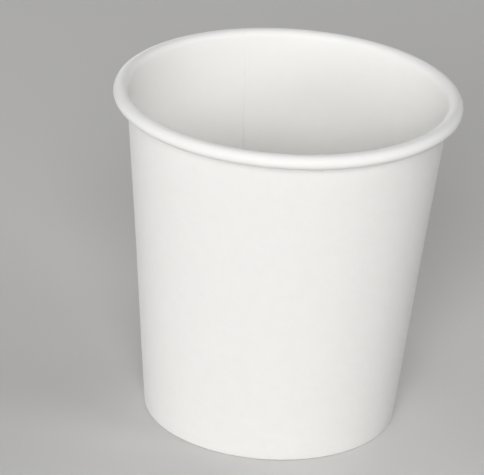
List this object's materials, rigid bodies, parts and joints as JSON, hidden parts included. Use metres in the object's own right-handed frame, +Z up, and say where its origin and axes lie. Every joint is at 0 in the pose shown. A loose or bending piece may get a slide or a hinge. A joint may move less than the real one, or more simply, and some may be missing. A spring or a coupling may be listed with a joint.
{
  "type": "paper cup",
  "caption": "Small single-wall paper cup: tapered sidewall with a lapped seam, a rolled rim that takes a lid, and a recessed base held in the folded foot.",
  "frame": {"origin": "centre of the foot, on the cup's axis, in the plane that it stands on", "axes": "+Z up the cup's axis from the foot to the rim, +Y through the middle of the side seam, +X square to both"},
  "size_m": [0.062, 0.062, 0.062],
  "materials": {
    "wall_board": "matte",
    "base_board": "matte"
  },
  "bodies": {
    "root": {"sidewall": "wall_board", "base": "base_board"}
  },
  "joints": []
}
